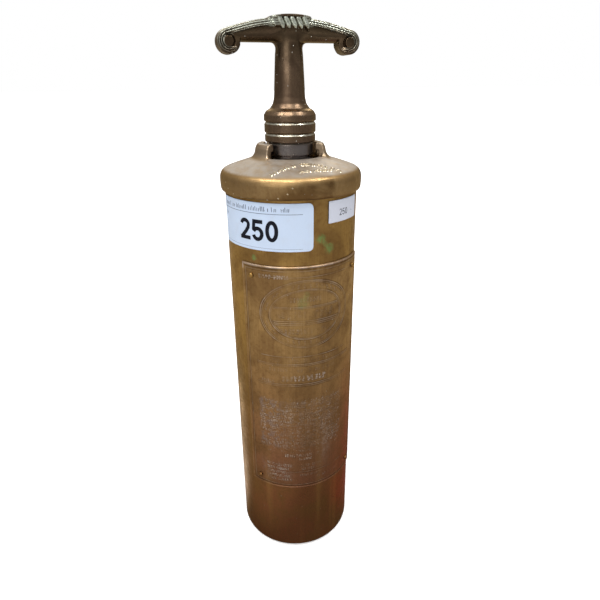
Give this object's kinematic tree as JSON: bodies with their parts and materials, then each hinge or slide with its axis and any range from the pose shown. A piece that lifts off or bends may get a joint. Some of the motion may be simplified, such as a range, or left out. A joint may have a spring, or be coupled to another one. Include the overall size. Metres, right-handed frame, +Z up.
{
  "type": "fire extinguisher",
  "caption": "Antique brass hand-pump fire extinguisher: slim tube with wrapped name plate, domed head with hooked ears, and a scrolled T handle on a double-acting pump rod.",
  "frame": {"origin": "centre of the foot, on the plane it stands on", "axes": "+Z up along the pump's axis, -Y is the front with the name plate, X runs along the T handle"},
  "size_m": [0.0832, 0.0832, 0.3424],
  "materials": {
    "shell_brass": "aged, dull golden brown with patina",
    "head_brass": "polished and worn, aged in the recesses",
    "handle_bronze": "dark oxidised brass, bright on worn edges",
    "plate_brass": "etched and worn, dark in the recesses",
    "inner_brass": "machined",
    "steel": "ground",
    "leather": "oiled",
    "packing": "greased cord",
    "paper": "matt, printed"
  },
  "bodies": {
    "casing": {"shell": "shell_brass", "base_cup": "shell_brass", "head": "head_brass", "name_plate": "plate_brass", "plate_pin_1": "plate_brass", "plate_pin_2": "plate_brass", "plate_pin_3": "plate_brass", "plate_pin_4": "plate_brass", "filler_bush": "inner_brass", "gland_nut": "inner_brass", "gland_follower": "inner_brass", "pump_barrel": "inner_brass", "lower_valve_body": "inner_brass", "upper_valve_body": "inner_brass", "lower_inlet_retainer": "inner_brass", "upper_inlet_retainer": "inner_brass", "upper_outlet_plug": "inner_brass", "lower_strainer": "inner_brass", "upper_strainer": "inner_brass", "discharge_tube": "inner_brass", "tube_nut_lower": "inner_brass", "tube_nut_upper": "inner_brass", "nozzle": "inner_brass", "lower_inlet_spring": "steel", "lower_outlet_spring": "steel", "upper_inlet_spring": "steel", "upper_outlet_spring": "steel", "barrel_gasket_lower": "leather", "barrel_gasket_upper": "leather", "outlet_seat_washer": "leather", "nozzle_gasket": "leather", "gland_packing": "packing", "lot_label": "paper", "price_label": "paper"},
    "piston": {"lower_piston_washer": "inner_brass", "lower_cup_leather": "leather", "piston_disc": "inner_brass", "upper_cup_leather": "leather", "upper_piston_washer": "inner_brass"},
    "handle": {"handle": "handle_bronze", "handle_pin": "handle_bronze", "piston_rod": "inner_brass", "valve_nut": "inner_brass", "stop_tube": "inner_brass"},
    "filler_washer": {"filler_gasket": "leather"},
    "filler_plug": {"filler_plug": "inner_brass"},
    "lower_inlet_ball": {"lower_inlet_ball": "steel"},
    "lower_outlet_ball": {"lower_outlet_ball": "steel"},
    "upper_inlet_ball": {"upper_inlet_ball": "steel"},
    "upper_outlet_ball": {"upper_outlet_ball": "steel"}
  },
  "joints": [
    {"name": "pump_stroke", "type": "slide", "parent": "casing", "child": "piston", "axis": [0, 0, 1], "range_m": [0, 0.16]},
    {"name": "handle_turn", "type": "hinge", "parent": "piston", "child": "handle", "pos_m": [0, 0, 0.2696], "axis": [0, 0, 1], "range_deg": [-90, 0]},
    {"name": "filler_lift", "type": "slide", "parent": "casing", "child": "filler_washer", "axis": [0, 0, 1], "range_m": [0, 0.0136]},
    {"name": "filler_unscrew", "type": "hinge", "parent": "filler_washer", "child": "filler_plug", "pos_m": [0, 0.0302, 0.2721], "axis": [0, 0, 1], "range_deg": [0, 3240]},
    {"name": "lower_inlet_lift", "type": "slide", "parent": "casing", "child": "lower_inlet_ball", "axis": [0, 0, 1], "range_m": [0, 0.0015], "stiffness_N_per_m": 60, "deforming": ["lower_inlet_spring"]},
    {"name": "lower_outlet_lift", "type": "slide", "parent": "casing", "child": "lower_outlet_ball", "axis": [0, 0, -1], "range_m": [0, 0.0015], "stiffness_N_per_m": 60, "deforming": ["lower_outlet_spring"]},
    {"name": "upper_inlet_lift", "type": "slide", "parent": "casing", "child": "upper_inlet_ball", "axis": [0, 0, -1], "range_m": [0, 0.0015], "stiffness_N_per_m": 60, "deforming": ["upper_inlet_spring"]},
    {"name": "upper_outlet_lift", "type": "slide", "parent": "casing", "child": "upper_outlet_ball", "axis": [0, 0, 1], "range_m": [0, 0.0015], "stiffness_N_per_m": 60, "deforming": ["upper_outlet_spring"]}
  ],
  "couplings": [
    {"joint": "filler_lift", "follows": "filler_unscrew", "m_per_rad": 0.00023873}
  ]
}
